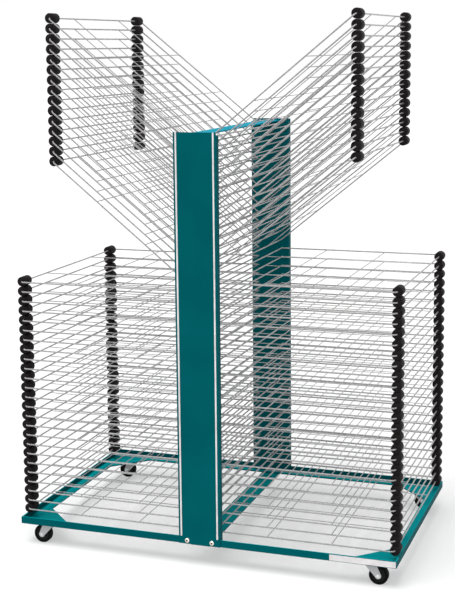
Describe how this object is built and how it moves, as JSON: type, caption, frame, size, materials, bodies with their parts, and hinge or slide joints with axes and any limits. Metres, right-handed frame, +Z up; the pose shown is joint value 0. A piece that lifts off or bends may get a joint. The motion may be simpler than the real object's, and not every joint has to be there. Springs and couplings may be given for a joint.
{
  "type": "art drying rack",
  "caption": "Double-sided rolling print drying rack: hinged wire shelves with round bumpers on two columns over a wheeled base.",
  "frame": {"origin": "on the floor under the middle of the rack", "axes": "+Z up, +X to the right, -Y towards the front column"},
  "size_m": [1.0064, 0.6249, 1.3786],
  "materials": {
    "teal_paint": "satin",
    "strap_paint": "satin",
    "bright_wire": "bright plated wire",
    "white_trim": "satin",
    "grey_fork": "satin",
    "black_tyre": "matt"
  },
  "bodies": {
    "rack": {"base_frame": "teal_paint", "front_column": "teal_paint", "rear_column": "teal_paint", "top_strap": "strap_paint", "trim_strip_left": "white_trim", "trim_strip_right": "white_trim", "shelf_stack_left_low": "bright_wire", "shelf_stack_left_high": "bright_wire", "shelf_stack_right_low": "bright_wire", "shelf_stack_right_high": "bright_wire"},
    "shelf_left_20": {"shelf_left_20": "bright_wire"},
    "shelf_left_21": {"shelf_left_21": "bright_wire"},
    "shelf_left_22": {"shelf_left_22": "bright_wire"},
    "shelf_left_23": {"shelf_left_23": "bright_wire"},
    "shelf_left_24": {"shelf_left_24": "bright_wire"},
    "shelf_left_25": {"shelf_left_25": "bright_wire"},
    "shelf_left_26": {"shelf_left_26": "bright_wire"},
    "shelf_left_27": {"shelf_left_27": "bright_wire"},
    "shelf_left_28": {"shelf_left_28": "bright_wire"},
    "shelf_left_29": {"shelf_left_29": "bright_wire"},
    "shelf_left_30": {"shelf_left_30": "bright_wire"},
    "shelf_left_31": {"shelf_left_31": "bright_wire"},
    "shelf_left_32": {"shelf_left_32": "bright_wire"},
    "shelf_left_33": {"shelf_left_33": "bright_wire"},
    "shelf_left_34": {"shelf_left_34": "bright_wire"},
    "shelf_left_35": {"shelf_left_35": "bright_wire"},
    "shelf_left_36": {"shelf_left_36": "bright_wire"},
    "shelf_left_37": {"shelf_left_37": "bright_wire"},
    "shelf_left_38": {"shelf_left_38": "bright_wire"},
    "shelf_left_39": {"shelf_left_39": "bright_wire"},
    "shelf_left_40": {"shelf_left_40": "bright_wire"},
    "shelf_right_20": {"shelf_right_20": "bright_wire"},
    "shelf_right_21": {"shelf_right_21": "bright_wire"},
    "shelf_right_22": {"shelf_right_22": "bright_wire"},
    "shelf_right_23": {"shelf_right_23": "bright_wire"},
    "shelf_right_24": {"shelf_right_24": "bright_wire"},
    "shelf_right_25": {"shelf_right_25": "bright_wire"},
    "shelf_right_26": {"shelf_right_26": "bright_wire"},
    "shelf_right_27": {"shelf_right_27": "bright_wire"},
    "shelf_right_28": {"shelf_right_28": "bright_wire"},
    "shelf_right_29": {"shelf_right_29": "bright_wire"},
    "shelf_right_30": {"shelf_right_30": "bright_wire"},
    "shelf_right_31": {"shelf_right_31": "bright_wire"},
    "shelf_right_32": {"shelf_right_32": "bright_wire"},
    "shelf_right_33": {"shelf_right_33": "bright_wire"},
    "shelf_right_34": {"shelf_right_34": "bright_wire"},
    "shelf_right_35": {"shelf_right_35": "bright_wire"},
    "shelf_right_36": {"shelf_right_36": "bright_wire"},
    "shelf_right_37": {"shelf_right_37": "bright_wire"},
    "shelf_right_38": {"shelf_right_38": "bright_wire"},
    "shelf_right_39": {"shelf_right_39": "bright_wire"},
    "shelf_right_40": {"shelf_right_40": "bright_wire"},
    "caster_fork_front_left": {"caster_fork_front_left": "grey_fork"},
    "caster_wheel_front_left": {"caster_wheel_front_left": "black_tyre"},
    "caster_fork_front_right": {"caster_fork_front_right": "grey_fork"},
    "caster_wheel_front_right": {"caster_wheel_front_right": "black_tyre"},
    "caster_fork_rear_left": {"caster_fork_rear_left": "grey_fork"},
    "caster_wheel_rear_left": {"caster_wheel_rear_left": "black_tyre"},
    "caster_fork_rear_right": {"caster_fork_rear_right": "grey_fork"},
    "caster_wheel_rear_right": {"caster_wheel_rear_right": "black_tyre"}
  },
  "joints": [
    {"name": "hinge_left_20", "type": "hinge", "parent": "rack", "child": "shelf_left_20", "pos_m": [-0.035, 0, 0.5714], "axis": [0, 1, 0], "range_deg": [0, 39]},
    {"name": "hinge_left_21", "type": "hinge", "parent": "rack", "child": "shelf_left_21", "pos_m": [-0.035, 0, 0.5968], "axis": [0, 1, 0], "range_deg": [0, 39]},
    {"name": "hinge_left_22", "type": "hinge", "parent": "rack", "child": "shelf_left_22", "pos_m": [-0.035, 0, 0.6222], "axis": [0, 1, 0], "range_deg": [0, 39]},
    {"name": "hinge_left_23", "type": "hinge", "parent": "rack", "child": "shelf_left_23", "pos_m": [-0.035, 0, 0.6476], "axis": [0, 1, 0], "range_deg": [0, 39]},
    {"name": "hinge_left_24", "type": "hinge", "parent": "rack", "child": "shelf_left_24", "pos_m": [-0.035, 0, 0.673], "axis": [0, 1, 0], "range_deg": [0, 39]},
    {"name": "hinge_left_25", "type": "hinge", "parent": "rack", "child": "shelf_left_25", "pos_m": [-0.035, 0, 0.6984], "axis": [0, 1, 0], "range_deg": [0, 39]},
    {"name": "hinge_left_26", "type": "hinge", "parent": "rack", "child": "shelf_left_26", "pos_m": [-0.035, 0, 0.7238], "axis": [0, 1, 0], "range_deg": [-39, 0], "stiffness_Nm_per_rad": 1.2, "springref_deg": 68.75},
    {"name": "hinge_left_27", "type": "hinge", "parent": "rack", "child": "shelf_left_27", "pos_m": [-0.035, 0, 0.7492], "axis": [0, 1, 0], "range_deg": [-39, 0], "stiffness_Nm_per_rad": 1.2, "springref_deg": 68.75},
    {"name": "hinge_left_28", "type": "hinge", "parent": "rack", "child": "shelf_left_28", "pos_m": [-0.035, 0, 0.7746], "axis": [0, 1, 0], "range_deg": [-39, 0], "stiffness_Nm_per_rad": 1.2, "springref_deg": 68.75},
    {"name": "hinge_left_29", "type": "hinge", "parent": "rack", "child": "shelf_left_29", "pos_m": [-0.035, 0, 0.8], "axis": [0, 1, 0], "range_deg": [-39, 0], "stiffness_Nm_per_rad": 1.2, "springref_deg": 68.75},
    {"name": "hinge_left_30", "type": "hinge", "parent": "rack", "child": "shelf_left_30", "pos_m": [-0.035, 0, 0.8254], "axis": [0, 1, 0], "range_deg": [-39, 0], "stiffness_Nm_per_rad": 1.2, "springref_deg": 68.75},
    {"name": "hinge_left_31", "type": "hinge", "parent": "rack", "child": "shelf_left_31", "pos_m": [-0.035, 0, 0.8508], "axis": [0, 1, 0], "range_deg": [-39, 0], "stiffness_Nm_per_rad": 1.2, "springref_deg": 68.75},
    {"name": "hinge_left_32", "type": "hinge", "parent": "rack", "child": "shelf_left_32", "pos_m": [-0.035, 0, 0.8762], "axis": [0, 1, 0], "range_deg": [-39, 0], "stiffness_Nm_per_rad": 1.2, "springref_deg": 68.75},
    {"name": "hinge_left_33", "type": "hinge", "parent": "rack", "child": "shelf_left_33", "pos_m": [-0.035, 0, 0.9016], "axis": [0, 1, 0], "range_deg": [-39, 0], "stiffness_Nm_per_rad": 1.2, "springref_deg": 68.75},
    {"name": "hinge_left_34", "type": "hinge", "parent": "rack", "child": "shelf_left_34", "pos_m": [-0.035, 0, 0.927], "axis": [0, 1, 0], "range_deg": [-39, 0], "stiffness_Nm_per_rad": 1.2, "springref_deg": 68.75},
    {"name": "hinge_left_35", "type": "hinge", "parent": "rack", "child": "shelf_left_35", "pos_m": [-0.035, 0, 0.9524], "axis": [0, 1, 0], "range_deg": [-39, 0], "stiffness_Nm_per_rad": 1.2, "springref_deg": 68.75},
    {"name": "hinge_left_36", "type": "hinge", "parent": "rack", "child": "shelf_left_36", "pos_m": [-0.035, 0, 0.9778], "axis": [0, 1, 0], "range_deg": [-39, 0], "stiffness_Nm_per_rad": 1.2, "springref_deg": 68.75},
    {"name": "hinge_left_37", "type": "hinge", "parent": "rack", "child": "shelf_left_37", "pos_m": [-0.035, 0, 1.0032], "axis": [0, 1, 0], "range_deg": [-39, 0], "stiffness_Nm_per_rad": 1.2, "springref_deg": 68.75},
    {"name": "hinge_left_38", "type": "hinge", "parent": "rack", "child": "shelf_left_38", "pos_m": [-0.035, 0, 1.0286], "axis": [0, 1, 0], "range_deg": [-39, 0], "stiffness_Nm_per_rad": 1.2, "springref_deg": 68.75},
    {"name": "hinge_left_39", "type": "hinge", "parent": "rack", "child": "shelf_left_39", "pos_m": [-0.035, 0, 1.054], "axis": [0, 1, 0], "range_deg": [-39, 0], "stiffness_Nm_per_rad": 1.2, "springref_deg": 68.75},
    {"name": "hinge_left_40", "type": "hinge", "parent": "rack", "child": "shelf_left_40", "pos_m": [-0.035, 0, 1.0794], "axis": [0, 1, 0], "range_deg": [-39, 0], "stiffness_Nm_per_rad": 1.2, "springref_deg": 68.75},
    {"name": "hinge_right_20", "type": "hinge", "parent": "rack", "child": "shelf_right_20", "pos_m": [0.035, 0, 0.5714], "axis": [0, -1, 0], "range_deg": [0, 39]},
    {"name": "hinge_right_21", "type": "hinge", "parent": "rack", "child": "shelf_right_21", "pos_m": [0.035, 0, 0.5968], "axis": [0, -1, 0], "range_deg": [0, 39]},
    {"name": "hinge_right_22", "type": "hinge", "parent": "rack", "child": "shelf_right_22", "pos_m": [0.035, 0, 0.6222], "axis": [0, -1, 0], "range_deg": [0, 39]},
    {"name": "hinge_right_23", "type": "hinge", "parent": "rack", "child": "shelf_right_23", "pos_m": [0.035, 0, 0.6476], "axis": [0, -1, 0], "range_deg": [0, 39]},
    {"name": "hinge_right_24", "type": "hinge", "parent": "rack", "child": "shelf_right_24", "pos_m": [0.035, 0, 0.673], "axis": [0, -1, 0], "range_deg": [0, 39]},
    {"name": "hinge_right_25", "type": "hinge", "parent": "rack", "child": "shelf_right_25", "pos_m": [0.035, 0, 0.6984], "axis": [0, -1, 0], "range_deg": [0, 39]},
    {"name": "hinge_right_26", "type": "hinge", "parent": "rack", "child": "shelf_right_26", "pos_m": [0.035, 0, 0.7238], "axis": [0, -1, 0], "range_deg": [0, 39]},
    {"name": "hinge_right_27", "type": "hinge", "parent": "rack", "child": "shelf_right_27", "pos_m": [0.035, 0, 0.7492], "axis": [0, -1, 0], "range_deg": [-39, 0], "stiffness_Nm_per_rad": 1.2, "springref_deg": 68.75},
    {"name": "hinge_right_28", "type": "hinge", "parent": "rack", "child": "shelf_right_28", "pos_m": [0.035, 0, 0.7746], "axis": [0, -1, 0], "range_deg": [-39, 0], "stiffness_Nm_per_rad": 1.2, "springref_deg": 68.75},
    {"name": "hinge_right_29", "type": "hinge", "parent": "rack", "child": "shelf_right_29", "pos_m": [0.035, 0, 0.8], "axis": [0, -1, 0], "range_deg": [-39, 0], "stiffness_Nm_per_rad": 1.2, "springref_deg": 68.75},
    {"name": "hinge_right_30", "type": "hinge", "parent": "rack", "child": "shelf_right_30", "pos_m": [0.035, 0, 0.8254], "axis": [0, -1, 0], "range_deg": [-39, 0], "stiffness_Nm_per_rad": 1.2, "springref_deg": 68.75},
    {"name": "hinge_right_31", "type": "hinge", "parent": "rack", "child": "shelf_right_31", "pos_m": [0.035, 0, 0.8508], "axis": [0, -1, 0], "range_deg": [-39, 0], "stiffness_Nm_per_rad": 1.2, "springref_deg": 68.75},
    {"name": "hinge_right_32", "type": "hinge", "parent": "rack", "child": "shelf_right_32", "pos_m": [0.035, 0, 0.8762], "axis": [0, -1, 0], "range_deg": [-39, 0], "stiffness_Nm_per_rad": 1.2, "springref_deg": 68.75},
    {"name": "hinge_right_33", "type": "hinge", "parent": "rack", "child": "shelf_right_33", "pos_m": [0.035, 0, 0.9016], "axis": [0, -1, 0], "range_deg": [-39, 0], "stiffness_Nm_per_rad": 1.2, "springref_deg": 68.75},
    {"name": "hinge_right_34", "type": "hinge", "parent": "rack", "child": "shelf_right_34", "pos_m": [0.035, 0, 0.927], "axis": [0, -1, 0], "range_deg": [-39, 0], "stiffness_Nm_per_rad": 1.2, "springref_deg": 68.75},
    {"name": "hinge_right_35", "type": "hinge", "parent": "rack", "child": "shelf_right_35", "pos_m": [0.035, 0, 0.9524], "axis": [0, -1, 0], "range_deg": [-39, 0], "stiffness_Nm_per_rad": 1.2, "springref_deg": 68.75},
    {"name": "hinge_right_36", "type": "hinge", "parent": "rack", "child": "shelf_right_36", "pos_m": [0.035, 0, 0.9778], "axis": [0, -1, 0], "range_deg": [-39, 0], "stiffness_Nm_per_rad": 1.2, "springref_deg": 68.75},
    {"name": "hinge_right_37", "type": "hinge", "parent": "rack", "child": "shelf_right_37", "pos_m": [0.035, 0, 1.0032], "axis": [0, -1, 0], "range_deg": [-39, 0], "stiffness_Nm_per_rad": 1.2, "springref_deg": 68.75},
    {"name": "hinge_right_38", "type": "hinge", "parent": "rack", "child": "shelf_right_38", "pos_m": [0.035, 0, 1.0286], "axis": [0, -1, 0], "range_deg": [-39, 0], "stiffness_Nm_per_rad": 1.2, "springref_deg": 68.75},
    {"name": "hinge_right_39", "type": "hinge", "parent": "rack", "child": "shelf_right_39", "pos_m": [0.035, 0, 1.054], "axis": [0, -1, 0], "range_deg": [-39, 0], "stiffness_Nm_per_rad": 1.2, "springref_deg": 68.75},
    {"name": "hinge_right_40", "type": "hinge", "parent": "rack", "child": "shelf_right_40", "pos_m": [0.035, 0, 1.0794], "axis": [0, -1, 0], "range_deg": [-39, 0], "stiffness_Nm_per_rad": 1.2, "springref_deg": 68.75},
    {"name": "swivel_front_left", "type": "hinge", "parent": "rack", "child": "caster_fork_front_left", "pos_m": [-0.435, -0.2795, 0.0541], "axis": [0, 0, 1], "continuous": true},
    {"name": "roll_front_left", "type": "hinge", "parent": "caster_fork_front_left", "child": "caster_wheel_front_left", "pos_m": [-0.453, -0.2795, 0.024], "axis": [0, 1, 0], "continuous": true},
    {"name": "swivel_front_right", "type": "hinge", "parent": "rack", "child": "caster_fork_front_right", "pos_m": [0.435, -0.2795, 0.0541], "axis": [0, 0, 1], "continuous": true},
    {"name": "roll_front_right", "type": "hinge", "parent": "caster_fork_front_right", "child": "caster_wheel_front_right", "pos_m": [0.453, -0.2795, 0.024], "axis": [0, 1, 0], "continuous": true},
    {"name": "swivel_rear_left", "type": "hinge", "parent": "rack", "child": "caster_fork_rear_left", "pos_m": [-0.435, 0.2795, 0.0541], "axis": [0, 0, 1], "continuous": true},
    {"name": "roll_rear_left", "type": "hinge", "parent": "caster_fork_rear_left", "child": "caster_wheel_rear_left", "pos_m": [-0.453, 0.2795, 0.024], "axis": [0, 1, 0], "continuous": true},
    {"name": "swivel_rear_right", "type": "hinge", "parent": "rack", "child": "caster_fork_rear_right", "pos_m": [0.435, 0.2795, 0.0541], "axis": [0, 0, 1], "continuous": true},
    {"name": "roll_rear_right", "type": "hinge", "parent": "caster_fork_rear_right", "child": "caster_wheel_rear_right", "pos_m": [0.453, 0.2795, 0.024], "axis": [0, 1, 0], "continuous": true}
  ],
  "couplings": [
    {"joint": "hinge_left_20", "follows": "hinge_left_25", "ratio": 1},
    {"joint": "hinge_left_21", "follows": "hinge_left_25", "ratio": 1},
    {"joint": "hinge_left_22", "follows": "hinge_left_25", "ratio": 1},
    {"joint": "hinge_left_23", "follows": "hinge_left_25", "ratio": 1},
    {"joint": "hinge_left_24", "follows": "hinge_left_25", "ratio": 1},
    {"joint": "hinge_left_27", "follows": "hinge_left_26", "ratio": 1},
    {"joint": "hinge_left_28", "follows": "hinge_left_26", "ratio": 1},
    {"joint": "hinge_left_29", "follows": "hinge_left_26", "ratio": 1},
    {"joint": "hinge_left_30", "follows": "hinge_left_26", "ratio": 1},
    {"joint": "hinge_left_31", "follows": "hinge_left_26", "ratio": 1},
    {"joint": "hinge_left_32", "follows": "hinge_left_26", "ratio": 1},
    {"joint": "hinge_left_33", "follows": "hinge_left_26", "ratio": 1},
    {"joint": "hinge_left_34", "follows": "hinge_left_26", "ratio": 1},
    {"joint": "hinge_left_35", "follows": "hinge_left_26", "ratio": 1},
    {"joint": "hinge_left_36", "follows": "hinge_left_26", "ratio": 1},
    {"joint": "hinge_left_37", "follows": "hinge_left_26", "ratio": 1},
    {"joint": "hinge_left_38", "follows": "hinge_left_26", "ratio": 1},
    {"joint": "hinge_left_39", "follows": "hinge_left_26", "ratio": 1},
    {"joint": "hinge_left_40", "follows": "hinge_left_26", "ratio": 1},
    {"joint": "hinge_right_20", "follows": "hinge_right_26", "ratio": 1},
    {"joint": "hinge_right_21", "follows": "hinge_right_26", "ratio": 1},
    {"joint": "hinge_right_22", "follows": "hinge_right_26", "ratio": 1},
    {"joint": "hinge_right_23", "follows": "hinge_right_26", "ratio": 1},
    {"joint": "hinge_right_24", "follows": "hinge_right_26", "ratio": 1},
    {"joint": "hinge_right_25", "follows": "hinge_right_26", "ratio": 1},
    {"joint": "hinge_right_28", "follows": "hinge_right_27", "ratio": 1},
    {"joint": "hinge_right_29", "follows": "hinge_right_27", "ratio": 1},
    {"joint": "hinge_right_30", "follows": "hinge_right_27", "ratio": 1},
    {"joint": "hinge_right_31", "follows": "hinge_right_27", "ratio": 1},
    {"joint": "hinge_right_32", "follows": "hinge_right_27", "ratio": 1},
    {"joint": "hinge_right_33", "follows": "hinge_right_27", "ratio": 1},
    {"joint": "hinge_right_34", "follows": "hinge_right_27", "ratio": 1},
    {"joint": "hinge_right_35", "follows": "hinge_right_27", "ratio": 1},
    {"joint": "hinge_right_36", "follows": "hinge_right_27", "ratio": 1},
    {"joint": "hinge_right_37", "follows": "hinge_right_27", "ratio": 1},
    {"joint": "hinge_right_38", "follows": "hinge_right_27", "ratio": 1},
    {"joint": "hinge_right_39", "follows": "hinge_right_27", "ratio": 1},
    {"joint": "hinge_right_40", "follows": "hinge_right_27", "ratio": 1}
  ]
}
